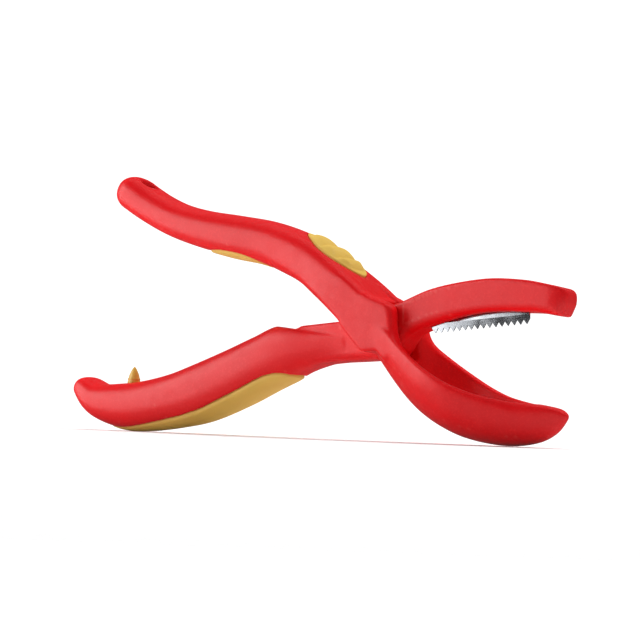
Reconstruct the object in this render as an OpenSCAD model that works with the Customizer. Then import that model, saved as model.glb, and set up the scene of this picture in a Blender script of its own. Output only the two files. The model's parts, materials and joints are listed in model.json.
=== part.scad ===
// Hand-held chestnut cutter: a scoop on one lever holds the nut, and a serrated
// blade under the arched jaw of the other lever scores its shell.
// Frame: +X runs from the handles to the jaws, +Z is up, and Y is the pivot axis.
// The tool stands on its scoop and its lower handle at Z = 0, centred on X and Y.
// The shapes are drawn about the pivot and then moved to it.

/* [Pivot and fork] */
// Width over the two cheeks of the fork
fork_w = 26; // [24:0.5:30]
// Width of the blade lever's tongue, hub and jaw
tongue_w = 12.6; // [11:0.2:14]
// Gap between the tongue and each cheek
side_gap = 0.3; // [0.2:0.05:0.5]
// Radius of the blade lever's round hub
hub_r = 9; // [8.8:0.1:9.2]
// Diameter of the pivot pin
pin_d = 5; // [4:0.5:5]
// Radial clearance between the pin and its bush
pin_fit = 0.05; // [0.02:0.01:0.1]
// Outer diameter of the bush
bush_d = 7; // [6.5:0.5:7.5]

/* [Blade] */
// Thickness of the blade
blade_t = 1; // [0.6:0.1:1.4]
// Distance from one tooth to the next
tooth_pitch = 2.1; // [1.8:0.1:2.4]
// Number of teeth
tooth_count = 16; // [12:1:16]
// Depth of the teeth
tooth_depth = 1.6; // [1:0.1:2]
// Height of the blade from the tooth tips to its back
blade_h = 8; // [7:0.5:8.5]

/* [Scoop] */
// Thickness of the scoop's wall at its rim
scoop_wall = 2.6; // [2:0.1:3.2]
// Thickness of the scoop's floor
scoop_floor = 2.8; // [2.2:0.1:3.4]

/* [Grips] */
// How deep the soft grips sit in the handles
grip_depth = 2; // [1.5:0.1:2.4]
// How far the plain grips stand above the handles
grip_proud = 0.4; // [0.2:0.1:0.8]
// Height of the three ridges on the thumb pad
ridge_h = 1; // [0.6:0.1:1.2]

/* [Hanging hole and pick] */
// Diameter of the hanging hole
hang_d = 6; // [5:0.5:6.5]
// Diameter of the dished rim round the hanging hole
hang_dish_d = 9.6; // [8:0.2:10]
// Diameter of the pick at its base
pick_d = 4.6; // [4:0.1:5]
// Height of the pick above the handle
pick_h = 6; // [4:0.1:6.6]

/* [Return spring] */
// Wire diameter
wire_d = 1; // [0.8:0.1:1]
// Mean radius of the coil
coil_r = 5; // [4.8:0.1:5.1]
// Number of turns
coil_turns = 3.25; // [2.25:0.5:3.25]

/* [Hidden] */

// Place of the pivot in the part's frame
pivot_x = 32.9;
pivot_z = 34.7;

slot_w = tongue_w + 2 * side_gap;
far_cheek_y = fork_w / 2;
turn_gap = 0.35;
slot_r = hub_r + turn_gap;

// Handle stations, tail to hub: x, z, half depth, half width, squareness.
upper_handle = [
    [-113.1, 54.4, 6.3, 8.4, 2.3], [-106.8, 50.7, 6.5, 8.9, 2.4],
    [-97, 45, 6.1, 8.8, 2.5], [-86, 40, 6.2, 9, 2.5],
    [-74, 36.4, 6.6, 9.4, 2.5], [-60, 33.4, 7.2, 9.8, 2.6],
    [-46, 30.6, 7.3, 10, 2.7], [-34, 26.2, 7.5, 10.5, 2.9],
    [-25.5, 21.8, 7.1, 11.2, 3], [-18.5, 16.7, 6.9, 12.1, 3.2],
    [-13, 12.4, 6.7, 12.7, 3.4], [-8, 8.2, 6.6, 12.9, 3.6],
    [-3, 3.4, 6.6, 12.9, 4],
];
lower_handle = [
    [-129.9, -17.9, 3, 5.6, 2.2], [-125.6, -20.2, 4.8, 7.3, 2.3],
    [-118.5, -24.2, 6.3, 8.6, 2.4], [-108, -25.8, 8, 9.2, 2.4],
    [-97, -25.4, 8.7, 9.4, 2.4], [-84, -23.3, 9.3, 9.6, 2.5],
    [-72, -20.2, 10, 9.8, 2.6], [-58, -15, 9.9, 9.8, 2.6],
    [-46, -9.9, 9.5, 9.6, 2.6], [-36, -6, 9.2, 9, 2.7],
    [-24, -4.2, 6.3, 7.6, 2.8], [-13, -2.8, 6, 6.2, 3],
];
upper_cap = 8;
lower_cap = 4;

// Scoop stations, hub to tip: x, rim height, belly height, half width.
scoop_outer = [
    [-2, 2, -6.5, 10], [2.5, 0.5, -12, 12], [7, -0.9, -17.4, 13.6],
    [12, -4.8, -22.5, 15], [17, -8.6, -26.4, 16.4], [23, -12.6, -29.8, 17.4],
    [30, -16.4, -32.6, 16.8], [38, -19.3, -34.2, 14.4], [46, -20.8, -34.6, 11.4],
    [54, -21.9, -33.2, 8], [59.5, -22.9, -30.2, 4.6], [63, -24.5, -26, 1.2],
];
// Half width of the cavity where it opens out of the fork
cavity_mouth = [[3, 6.6], [8, 7.4], [12, 11.4]];
scoop_square = 2.3;

rings_per_span = 3;
section_points = 24;
half_points = 12;

// A point on a Catmull-Rom curve through the rows of p, at t spans from the start.
function row(p, i) = p[max(0, min(len(p) - 1, i))];
function curve_at(p, t) =
    let (
        i = min(floor(t), len(p) - 2),
        u = t - i,
        a = row(p, i - 1), b = row(p, i), c = row(p, i + 1), d = row(p, i + 2)
    )
    0.5 * (2 * b + (c - a) * u + (2 * a - 5 * b + 4 * c - d) * u * u
        + (3 * b - a - 3 * c + d) * u * u * u);
function spans(p) = len(p) - 1;
// Unit tangent of the centre line, and the normal that points up from it
function tangent(p, t) =
    let (
        a = curve_at(p, max(0, t - 0.02)),
        b = curve_at(p, min(spans(p), t + 0.02)),
        d = [b[0] - a[0], b[1] - a[1]]
    )
    d / norm(d);
function normal(p, t) = let (d = tangent(p, t)) [-d[1], d[0]];
function signed_power(v, e) = sign(v) * pow(abs(v), e);
// Shrinks the sections near the tail into a round end of length cap
function cap_scale(p, t, cap) =
    let (d = norm([curve_at(p, t)[0] - p[0][0], curve_at(p, t)[1] - p[0][1]]))
    d >= cap ? 1 : max(0.05, sqrt(1 - pow(1 - d / cap, 2)));
function section(p, t, cap) =
    let (s = curve_at(p, t), n = normal(p, t), k = cap_scale(p, t, cap), e = 2 / s[4])
    [
        for (j = [0:section_points - 1])
            let (
                q = 360 * (j + 0.5) / section_points,
                y = k * s[3] * signed_power(cos(q), e),
                h = k * s[2] * signed_power(sin(q), e)
            )
            [s[0] + n[0] * h, y, s[1] + n[1] * h]
    ];
// Height of a handle's surface over its centre line at width y
function crown(s, y) = s[2] * pow(1 - pow(min(1, abs(y) / s[3]), s[4]), 1 / s[4]);

// Closed solid through rings of points, each anticlockwise seen from the far end
module skin(rings) {
    n = len(rings[0]);
    m = len(rings);
    points = [for (r = rings) for (q = r) q];
    sides = [
        for (i = [0:m - 2]) for (j = [0:n - 1])
            let (k = (j + 1) % n)
            each [
                [i * n + j, (i + 1) * n + k, i * n + k],
                [i * n + j, (i + 1) * n + j, (i + 1) * n + k],
            ]
    ];
    start = [for (j = [0:n - 1]) j];
    end = [for (j = [n - 1:-1:0]) (m - 1) * n + j];
    polyhedron(points, concat([start], sides, [end]), convexity = 8);
}
module handle_solid(p, cap) {
    steps = spans(p) * rings_per_span;
    skin([for (i = [0:steps]) section(p, i / rings_per_span, cap)]);
}

// U-shaped solid: flat across the top, rounded below. Rows: x, top, bottom, half width.
function trough(s) = [
    for (j = [0:half_points])
        let (q = 180 - 180 * j / half_points, e = 2 / scoop_square)
        [s[0], s[3] * signed_power(cos(q), e), s[1] - (s[1] - s[2]) * pow(sin(q), e)]
];
module trough_solid(rows) {
    steps = spans(rows) * rings_per_span;
    skin([for (i = [0:steps]) trough(curve_at(rows, i / rings_per_span))]);
}
// The cavity follows the outside, one wall further in, and runs up through the rim.
cavity_clear = 8;
function cavity_width(s) =
    s[0] < 12 ? lookup(s[0], cavity_mouth) : s[3] - scoop_wall;
cavity_rows = concat(
    [[3, 9, -10.6, 6.6], [7, 8, -14.6, 7]],
    [
        for (i = [3:8])
            let (s = scoop_outer[i])
            [s[0], s[1] + cavity_clear, s[2] + scoop_floor, cavity_width(s)]
    ],
    [[50, -13.6, -29.4, 5.8], [52.6, -14.4, -25, 1]]
);

// Plate in the XZ plane, centred on Y
module plate(w) {
    rotate([90, 0, 0])
        linear_extrude(height = w, center = true, convexity = 6) children();
}
// Round bar along Y between two heights
module cross_bar(r, y0, y1) {
    translate([0, y0, 0]) rotate([-90, 0, 0]) cylinder(r = r, h = y1 - y0, $fn = 64);
}
function smooth(p, n) = [for (i = [0:spans(p) * n]) curve_at(p, i / n)];
function arc(r, a0, a1, n) = [
    for (i = [0:n]) let (a = a0 + (a1 - a0) * i / n) r * [cos(a), sin(a)]
];

// Outline of one cheek: back edge, rounded lower corner, scoop root, front edge
corner_r = 3.6;
corner_x = -1.2;
corner_z = -3.2;
cheek_front = [[9.8, -2.2], [8.7, 1], [8.4, 4.2], [7.9, 6.6], [6.4, 8.3], [3.9, 9.4], [1, 10.5]];
module cheek_outline() {
    polygon(concat(
        [[-11, 2]],
        [for (a = [215:11:270]) [corner_x + corner_r * cos(a), corner_z + corner_r * sin(a)]],
        [[3, -6.4], [6, -9.4], [11.4, -5.2]],
        smooth(cheek_front, 3),
        [[-2.6, 12], [-6.5, 9.5]]
    ));
}

// Outline of the blade lever's flat part: jaw, hub and tongue
jaw_top = [[4, 8.6], [8, 9.6], [17.5, 13.2], [28, 15.3], [39, 16.3], [50, 15.6], [57, 14.3]];
jaw_low = [[61.8, 4.5], [57, 5.3], [53.5, 5.9], [49, 6.1], [42, 6.3], [35, 5.9], [28, 4.8],
    [21, 3], [15.5, 1.4], [10.6, -0.8], [8.1, -3.9]];
tongue_low = [[-2, -8.8], [-9, -9.2], [-16, -9.5], [-22, -10], [-30, -12]];
tongue_top = [[-36, -4], [-33, 0.4], [-29.8, 2.1], [-13, 3.6], [-8.2, 3.7]];
module flat_outline() {
    polygon(concat(
        smooth(jaw_top, 3),
        arc_about([60, 9.4], 4.2, 76, -25, 6),
        smooth(jaw_low, 2),
        arc(hub_r, -28, -95, 8),
        tongue_low, tongue_top,
        arc(hub_r, 155, 68, 8)
    ));
}
function arc_about(c, r, a0, a1, n) = [for (q = arc(r, a0, a1, n)) c + q];
// The flat part seen from above: straight sides, and elliptical corners at the jaw's end
jaw_corner_x = 57.9;
jaw_corner = [6.3, 3.6];
module jaw_plan() {
    half = tongue_w / 2;
    corner = [
        for (q = [0:15:90])
            [jaw_corner_x + jaw_corner[0] * sin(q), half - jaw_corner[1] * (1 - cos(q))]
    ];
    translate([0, 0, -40]) linear_extrude(height = 80) polygon(concat(
        [[-60, -half], [-60, half]], corner,
        [for (i = [len(corner) - 1:-1:0]) [corner[i][0], -corner[i][1]]]
    ));
}

// Space that the tongue and the hub need between the cheeks over the whole travel
module slot_outline() {
    circle(r = slot_r, $fn = 96);
    polygon([[0, -slot_r], [0, slot_r], [3.4, 9.4], [8, 10.6], [20, 16], [20, -4], [11, -8]]);
    polygon([[0, -9.3], [-40, -20], [-40, 13], [-30, 16.4], [-9, 11.2], [0, 9.3]]);
}
// Recess over the hub, between the cheeks' upper lips
module recess_outline() {
    polygon([[-9.5, 18.2], [-3.5, 11.8], [-1, 10.4], [-1, 8], [14, 8], [14, 22], [-9.5, 22]]);
}
// Straight cut along the top of the lower handle's shoulder
module ledge_cut() {
    polygon([[-41.2, 2.2], [-12.4, -2.2], [-6, -3], [-6, 20], [-41.2, 20]]);
}

// Solid patch on a handle. side: 1 on top, -1 below. Rows: t, half width, height.
// lift raises its outside, which makes the cutter for the patch's own seat.
patch_points = 9;
seat_lift = 1.6;
function patch_point(p, side, t, y, off) =
    let (s = curve_at(p, t), n = normal(p, t), h = side * (crown(s, y) + off))
    [s[0] + n[0] * h, y, s[1] + n[1] * h];
function patch_ring(p, side, r, bulge, lift) =
    let (
        ys = [for (j = [0:patch_points - 1]) r[1] * (2 * j / (patch_points - 1) - 1)],
        outer = [
            for (y = ys)
                patch_point(p, side, r[0], y, r[2] + lift + bulge * (1 - pow(y / r[1], 2)))
        ],
        inner = [for (y = ys) patch_point(p, side, r[0], y, -grip_depth)],
        order = side < 0 ? [0:patch_points - 1] : [patch_points - 1:-1:0],
        back = side < 0 ? [patch_points - 1:-1:0] : [0:patch_points - 1]
    )
    concat([for (j = order) outer[j]], [for (j = back) inner[j]]);
module patch(p, side, rows, bulge, lift = 0) {
    skin([for (r = rows) patch_ring(p, side, r, bulge, lift)]);
}

// Thumb pad: a leaf on top of the upper handle, with three rounded ridges
thumb_from = 6.95;
thumb_to = 9.8;
thumb_half = 8;
function leaf(u, w, e) = max(1, w * pow(1 - pow(abs(2 * u - 1), e), 0.6));
function ridge(u) =
    let (phase = (u - 0.08) / 0.26, part = phase - floor(phase))
    phase < 0 || phase > 3 ? 0 : ridge_h * 2.6 * sqrt(part) * (1 - part);
thumb_rows = [
    for (i = [0:36])
        let (u = i / 36)
        [thumb_from + (thumb_to - thumb_from) * u, leaf(u, thumb_half, 2), 0.3 + ridge(u)]
];
// Palm pad: a leaf under the upper handle
palm_from = 4.3;
palm_to = 6.2;
palm_half = 7.4;
palm_rows = [
    for (i = [0:16])
        let (u = i / 16)
        [palm_from + (palm_to - palm_from) * u, leaf(u, palm_half, 2.6), grip_proud * 0.5]
];
// Finger grip: under the lower handle, pointed at the tail and blunt at the front
grip_from = 2.6;
grip_to = 9.15;
grip_shape = [[0, 0.6], [0.1, 3.5], [0.25, 5.8], [0.45, 6.9], [0.68, 7.6], [0.84, 7.4],
    [0.93, 6], [0.98, 3.4], [1, 0.8]];
grip_rows = [
    for (i = [0:28])
        let (u = i / 28)
        [grip_from + (grip_to - grip_from) * u, lookup(u, grip_shape), 0.15]
];

// Hanging hole: its axis crosses the tail of the upper handle at right angles
hang_t = 1.3;
hang_c = curve_at(upper_handle, hang_t);
hang_n = normal(upper_handle, hang_t);
module on_hang_axis() {
    translate([hang_c[0], 0, hang_c[1]])
        rotate([0, atan2(hang_n[0], hang_n[1]), 0]) children();
}
hang_dish_h = 1.6;
module hang_cut() {
    on_hang_axis() {
        translate([0, 0, -12]) cylinder(d = hang_d, h = 24, $fn = 64);
        translate([0, 0, hang_c[2] - hang_dish_h])
            cylinder(d1 = hang_d, d2 = hang_dish_d + 2, h = hang_dish_h + 1, $fn = 48);
    }
}

// Pick: a shell pick that stands in a socket near the lower handle's tail
pick_x = -104.6;
pick_seat_z = -17.8;
pick_shank_d = 3;
pick_shank_h = 6;
module at_pick() {
    translate([pick_x, 0, pick_seat_z]) children();
}

// Pivot stack
head_d = 8.4;
head_h = 1.6;
pin_blind = 4;
pin_r = pin_d / 2;
near_end_y = -slot_w / 2 - pin_blind;
leg_r = wire_d / 2 + 0.3;
spring_room_h = 5;
spring_room_y = tongue_w / 2 - spring_room_h;
spring_room_r = coil_r + wire_d / 2 + 0.5;
cheek_leg_a = 100;
leg_reach = 2.8;
function polar(r, a, y) = [r * cos(a), y, r * sin(a)];
module axial_hole(a, y0, y1) {
    translate([coil_r * cos(a), 0, coil_r * sin(a)]) cross_bar(leg_r, y0, y1);
}
lever_leg_a = cheek_leg_a - 360 * coil_turns;

// Blade: set in the jaw along a line through the tooth tips
blade_x0 = 16.4;
blade_z0 = -0.3;
blade_tilt = 5;
blade_len = tooth_pitch * tooth_count;
anchor_r = 1.1;
anchor_at = [[7, 6], [24, 6]];
module at_blade() {
    translate([blade_x0, 0, blade_z0]) rotate([0, -blade_tilt, 0]) children();
}
module blade_outline() {
    difference() {
        polygon(concat(
            [[0, blade_h], [0, tooth_depth]],
            [
                for (i = [0:tooth_count - 1])
                    each [
                        [(i + 0.5) * tooth_pitch, 0],
                        [(i + 1) * tooth_pitch, tooth_depth],
                    ]
            ],
            [[blade_len, blade_h - 1], [blade_len - 1, blade_h]]
        ));
        for (q = anchor_at) translate(q) circle(r = anchor_r, $fn = 32);
    }
}
module blade_slot() {
    at_blade() translate([0, -blade_t / 2, 0]) cube([blade_len, blade_t, blade_h]);
}
pin_from_y = -3;

module scoop_lever() {
    color([0.85, 0.06, 0.08]) at_pivot() difference() {
        union() {
            handle_solid(upper_handle, upper_cap);
            plate(fork_w - 0.2) cheek_outline();
            trough_solid(scoop_outer);
        }
        trough_solid(cavity_rows);
        plate(slot_w) {
            slot_outline();
            recess_outline();
        }
        cross_bar(pin_r, near_end_y, far_cheek_y + 1);
        cross_bar(head_d / 2, far_cheek_y - head_h - 0.3, far_cheek_y + 1);
        axial_hole(cheek_leg_a, slot_w / 2 - 0.1, slot_w / 2 + leg_reach + 0.3);
        hang_cut();
        patch(upper_handle, 1, thumb_rows, 0, seat_lift);
        patch(upper_handle, -1, palm_rows, grip_proud, seat_lift);
    }
}
module thumb_pad() {
    color([0.87, 0.69, 0.3]) at_pivot() patch(upper_handle, 1, thumb_rows, 0);
}
module palm_pad() {
    color([0.87, 0.69, 0.3]) at_pivot() patch(upper_handle, -1, palm_rows, grip_proud);
}
module pivot_pin() {
    color([0.75, 0.76, 0.78]) at_pivot() {
        cross_bar(pin_r, near_end_y, far_cheek_y - 1);
        cross_bar(head_d / 2, far_cheek_y - head_h - 0.3, far_cheek_y - 0.3);
    }
}
module blade_lever() {
    color([0.85, 0.06, 0.08]) at_pivot() difference() {
        union() {
            difference() {
                handle_solid(lower_handle, lower_cap);
                plate(40) ledge_cut();
            }
            intersection() {
                plate(tongue_w) flat_outline();
                jaw_plan();
            }
        }
        cross_bar(bush_d / 2, -tongue_w, tongue_w);
        cross_bar(spring_room_r, spring_room_y, tongue_w);
        axial_hole(lever_leg_a, spring_room_y - leg_reach - 0.3, spring_room_y + 0.1);
        blade_slot();
        at_blade() for (q = anchor_at)
            translate([q[0], 0, q[1]]) cross_bar(anchor_r, pin_from_y, tongue_w);
        at_pick() translate([0, 0, -pick_shank_h]) {
            cylinder(d = pick_shank_d, h = pick_shank_h + 3, $fn = 48);
            translate([0, 0, pick_shank_h]) cylinder(d = pick_d, h = 4, $fn = 48);
        }
        patch(lower_handle, -1, grip_rows, grip_proud, seat_lift);
    }
}
module finger_grip() {
    color([0.87, 0.69, 0.3]) at_pivot() patch(lower_handle, -1, grip_rows, grip_proud);
}
module shell_pick() {
    r = pick_d / 2;
    color([0.9, 0.7, 0.25]) at_pivot() at_pick() rotate_extrude($fn = 48) polygon([
        [0, -pick_shank_h], [pick_shank_d / 2, -pick_shank_h], [pick_shank_d / 2, 0],
        [r, 0], [r, 0.9], [r - 0.15, 1.1], [r - 0.15, 1.7], [r - 0.3, 1.9],
        [r * 0.76, pick_h * 0.5], [r * 0.54, pick_h * 0.7], [r * 0.3, pick_h * 0.88],
        [0.2, pick_h - 0.05], [0, pick_h],
    ]);
}
module blade() {
    color([0.72, 0.74, 0.77]) at_pivot() at_blade() plate(blade_t) blade_outline();
}
module blade_pins() {
    color([0.7, 0.71, 0.73]) at_pivot() at_blade() for (q = anchor_at)
        translate([q[0], 0, q[1]]) cross_bar(anchor_r, pin_from_y, tongue_w / 2 - 0.4);
}
module pivot_bush() {
    color([0.8, 0.65, 0.35]) at_pivot() difference() {
        cross_bar(bush_d / 2, -tongue_w / 2, tongue_w / 2);
        cross_bar(pin_r + pin_fit, -tongue_w, tongue_w);
    }
}
// Torsion spring: one wire, a coil between two legs that run along the pivot.
// Path rows: way round the coil in degrees, Y, and the heading from +Y to the coil.
wire_sides = 8;
coil_rings = 62;
bend_r = 0.65;
bend_steps = 4;
bend_a = bend_r / coil_r * 180 / PI;
coil_y0 = spring_room_y + wire_d / 2 + 0.2;
coil_y1 = tongue_w / 2 - wire_d / 2;
coil_end_a = 360 * coil_turns - bend_a;
spring_path = concat(
    [[0, spring_room_y - leg_reach, 0]],
    [
        for (i = [0:bend_steps])
            let (q = 90 * i / bend_steps)
            [bend_a * (1 - cos(q)), coil_y0 - bend_r * (1 - sin(q)), q]
    ],
    [
        for (i = [1:coil_rings - 1])
            let (f = i / coil_rings)
            [bend_a + (coil_end_a - bend_a) * f, coil_y0 + (coil_y1 - coil_y0) * f, 90]
    ],
    [
        for (i = [0:bend_steps])
            let (q = 90 * i / bend_steps)
            [coil_end_a + bend_a * sin(q), coil_y1 + bend_r * (1 - cos(q)), 90 - q]
    ],
    [[360 * coil_turns, slot_w / 2 + leg_reach, 0]]
);
function wire_ring(s) =
    let (
        a = lever_leg_a + s[0],
        radial = [cos(a), 0, sin(a)],
        around = [-sin(a), 0, cos(a)],
        side = cos(s[2]) * around - sin(s[2]) * [0, 1, 0]
    )
    [
        for (k = [0:wire_sides - 1])
            let (q = 360 * k / wire_sides)
            polar(coil_r, a, s[1]) + wire_d / 2 * (cos(q) * radial - sin(q) * side)
    ];
module return_spring() {
    color([0.78, 0.79, 0.8]) at_pivot() skin([for (s = spring_path) wire_ring(s)]);
}
module at_pivot() {
    translate([pivot_x, 0, pivot_z]) children();
}

scoop_lever();
thumb_pad();
palm_pad();
pivot_pin();
blade_lever();
finger_grip();
shell_pick();
blade();
blade_pins();
pivot_bush();
return_spring();
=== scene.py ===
"""Looks for the chestnut cutter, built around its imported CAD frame.

The shapes are drawn in millimetres about the pivot, with the part's own stations, and
moved to the pivot's place in the frame in metres. The two levers are grids of distances,
so that their parts blend into each other as moulded plastic does."""

import json
import math

import bmesh
import bpy
import numpy as np
import openvdb as vdb
from mathutils import Matrix, Vector


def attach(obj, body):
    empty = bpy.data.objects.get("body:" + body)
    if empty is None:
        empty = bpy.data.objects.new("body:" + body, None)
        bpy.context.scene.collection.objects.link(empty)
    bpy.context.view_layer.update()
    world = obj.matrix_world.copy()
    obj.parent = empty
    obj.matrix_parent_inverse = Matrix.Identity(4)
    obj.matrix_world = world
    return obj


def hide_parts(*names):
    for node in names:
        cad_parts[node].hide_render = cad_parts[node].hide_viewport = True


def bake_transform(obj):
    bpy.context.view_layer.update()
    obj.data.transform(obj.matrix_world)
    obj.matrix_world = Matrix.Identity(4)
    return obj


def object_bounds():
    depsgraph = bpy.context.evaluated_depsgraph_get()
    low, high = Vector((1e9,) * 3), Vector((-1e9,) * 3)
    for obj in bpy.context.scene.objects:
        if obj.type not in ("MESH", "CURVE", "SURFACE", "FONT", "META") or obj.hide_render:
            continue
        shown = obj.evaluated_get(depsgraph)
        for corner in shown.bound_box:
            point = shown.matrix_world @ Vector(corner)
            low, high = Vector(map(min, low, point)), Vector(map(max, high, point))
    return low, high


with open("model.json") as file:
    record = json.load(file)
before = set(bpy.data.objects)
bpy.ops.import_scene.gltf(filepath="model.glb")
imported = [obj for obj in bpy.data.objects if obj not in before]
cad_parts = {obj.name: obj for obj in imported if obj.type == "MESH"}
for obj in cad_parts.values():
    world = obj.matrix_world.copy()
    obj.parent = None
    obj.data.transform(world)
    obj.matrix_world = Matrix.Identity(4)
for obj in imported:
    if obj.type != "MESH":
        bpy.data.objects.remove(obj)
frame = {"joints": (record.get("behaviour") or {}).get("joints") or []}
CAD_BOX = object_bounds()
MM = 0.001
PIVOT = Vector(frame["joints"][0]["pos_m"])
SCOOP_BODY = "scoop_half"
BLADE_BODY = "blade_half"

# ---------------------------------------------------------------- driving sizes, in mm
FORK_W = 26.0
TONGUE_W = 12.6
SLOT_W = 13.2
HUB_R = 9.0
SLOT_R = 9.35
PIN_D = 5.0
PIN_BLIND = 4.0  # how deep the pin sits in the near cheek
PIN_HEAD_D = 8.4
PIN_HEAD_H = 1.6
PIN_SINK = 0.3  # the head's face below the far cheek's face
BUSH_D = 7.0
POCKET_D = 12.0  # the spring's pocket in the hub
POCKET_DEPTH = 5.0
GRIP_DEPTH = 2.0
SEAM = 0.14  # open line between a soft pad and its seat

# How far an edge or an inner corner of a moulded lever is rounded.
CRISP = 0.15
FINE = 0.3
SOFT = 0.6

# Handle stations, tail to hub: x, z, half depth, half width, squareness above and below.
UPPER_HANDLE = np.array([
    [-112.8, 54.2, 6.1, 8.2, 2.2, 2.4], [-106.6, 50.6, 6.3, 8.8, 2.2, 2.7],
    [-97, 45, 6.1, 8.8, 2.2, 2.9], [-86, 40, 6.2, 9, 2.2, 3.1],
    [-74, 36.4, 6.6, 9.4, 2.2, 3.2], [-60, 33.4, 7.2, 9.8, 2.2, 3.3],
    [-46, 30.6, 7.3, 10, 2.3, 3.4], [-34, 26.2, 7.5, 10.6, 2.5, 3.8],
    [-25.5, 21.8, 7.1, 11.4, 2.9, 4.4], [-18.5, 16.7, 6.9, 12.5, 3.7, 5],
    [-13, 12.4, 6.7, 13.3, 5, 5.6], [-8, 8.2, 6.6, 13.6, 6, 6.6],
    [-3, 3.4, 6.6, 13.8, 6.5, 7],
])
LOWER_HANDLE = np.array([
    [-129.5, -17.1, 2.6, 5.2, 2.2, 2.2], [-125.4, -19.9, 4.5, 7.2, 2.3, 2.3],
    [-118.5, -24.2, 6.3, 8.6, 2.4, 2.3], [-108, -25.8, 8, 9.2, 2.5, 2.3],
    [-97, -25.4, 8.7, 9.4, 2.5, 2.3], [-84, -23.3, 9.3, 9.6, 2.6, 2.3],
    [-72, -20.2, 10, 9.8, 2.7, 2.3], [-58, -15, 9.9, 9.8, 2.7, 2.3],
    [-46, -9.9, 9.5, 9.6, 2.8, 2.3], [-36, -6, 9.2, 9, 3, 2.4],
    [-24, -4.2, 6.3, 7.6, 2.8, 2.5], [-13, -2.8, 6, 6.2, 3, 2.8],
])
UPPER_CAP = 8.0
LOWER_CAP = 4.0

# Scoop stations, hub to tip: x, rim height, belly height, half width.
SCOOP_OUTER = np.array([
    [-2, 2, -6.5, 10], [2.5, 0.5, -12, 12], [7, -0.9, -17.4, 13.6],
    [12, -4.8, -22.5, 15], [17, -8.6, -26.4, 16.4], [23, -12.6, -29.8, 17.4],
    [30, -16.4, -32.6, 16.8], [38, -19.3, -34.2, 14.4], [46, -20.8, -34.6, 11.4],
    [54, -21.9, -33.2, 8], [59.5, -22.9, -30.2, 4.6], [63, -24.5, -26, 1.2],
])
SCOOP_WALL = 2.6
SCOOP_FLOOR = 2.8
SCOOP_SQUARE = 2.3
RIM_REACH = 8.0  # how far the scoop's walls run past the rim before it is cut
# Rounding of the scoop's rim: x, reach.
RIM_ROUND = np.array([[10, 0.7], [30, 1.2], [42, 2.6], [50, 4], [56, 2.4], [61, 0.7]])
# The scoop's hollow where the cheeks narrow it, and at its tip: x, top, bottom, half width.
CAVITY_ROOT = [[3, 9, -10.6, 6.6], [7, 8, -14.6, 7], [12, 3.2, -19.7, 11.4]]
CAVITY_TIP = [[50, -13.6, -29.4, 5.8], [52.6, -14.4, -25, 1]]


# ---------------------------------------------------------------- curves and sections
def curve(rows, t):
    """Catmull-Rom curve through the rows, at t spans from the start, for one t or many."""
    rows = np.asarray(rows, float)
    t = np.asarray(t, float)
    last = len(rows) - 1
    i = np.minimum(np.floor(t).astype(int), last - 1)
    u = (t - i)[..., None]
    a, b, c, d = (rows[np.clip(i + k, 0, last)] for k in (-1, 0, 1, 2))
    return 0.5 * (2 * b + (c - a) * u + (2 * a - 5 * b + 4 * c - d) * u**2
                  + (3 * b - a - 3 * c + d) * u**3)


def normal(rows, t):
    """Unit normal that points up from a handle's centre line, as (x, z)."""
    t = np.asarray(t, float)
    step = 0.02
    ahead = curve(rows, np.minimum(t + step, len(rows) - 1))[..., :2]
    back = curve(rows, np.maximum(t - step, 0))[..., :2]
    d = ahead - back
    d /= np.linalg.norm(d, axis=-1, keepdims=True)
    return np.stack([-d[..., 1], d[..., 0]], axis=-1)


def cap_scale(rows, t, cap):
    """Shrinks the sections near the tail into a round end of length cap."""
    d = np.linalg.norm(curve(rows, t)[..., :2] - rows[0, :2], axis=-1)
    inside = 1 - np.clip(d / cap, 0, 1)
    return np.maximum(0.02, np.sqrt(1 - inside**2))


def handle_rings(rows, cap, around=96):
    """Rings along a handle, closer together towards its round tail."""
    tail = np.linspace(0, 1, 26) ** 2 * 0.98
    body = np.linspace(1, len(rows) - 1, 14 * (len(rows) - 2))
    t = np.concatenate([tail, body])
    s = curve(rows, t)
    n = normal(rows, t)
    k = cap_scale(rows, t, cap)
    q = 2 * np.pi * (np.arange(around) + 0.5) / around
    c, v = np.cos(q)[None, :], np.sin(q)[None, :]
    e = np.where(v > 0, 2 / s[:, 4:5], 2 / s[:, 5:6])
    y = (k * s[:, 3])[:, None] * np.sign(c) * np.abs(c) ** e
    h = (k * s[:, 2])[:, None] * np.sign(v) * np.abs(v) ** e
    return np.stack([s[:, 0:1] + n[:, 0:1] * h, y, s[:, 1:2] + n[:, 1:2] * h], axis=-1)


def trough_rings(rows, square, around=90):
    """U-shaped sections, flat across the top. Rows: x, top, bottom, half width."""
    s = curve(rows, np.linspace(0, len(rows) - 1, 12 * (len(rows) - 1) + 1))
    q = np.pi * (1 - np.arange(around + 1) / around)
    y = s[:, 3:4] * (np.sign(np.cos(q)) * np.abs(np.cos(q)) ** (2 / square))[None, :]
    z = s[:, 1:2] - (s[:, 1:2] - s[:, 2:3]) * (np.abs(np.sin(q)) ** (2 / square))[None, :]
    return np.stack([np.broadcast_to(s[:, 0:1], y.shape), y, z], axis=-1)


def smooth_outline(points, n=8):
    return curve(points, np.linspace(0, len(points) - 1, n * (len(points) - 1) + 1))


def arc(centre, r, start, end, n=16):
    a = np.radians(np.linspace(start, end, n))
    return np.stack([centre[0] + r * np.cos(a), centre[1] + r * np.sin(a)], axis=-1)


# ---------------------------------------------------------------- grids of distances
CELL = 0.45
BAND = 10.0


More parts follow.
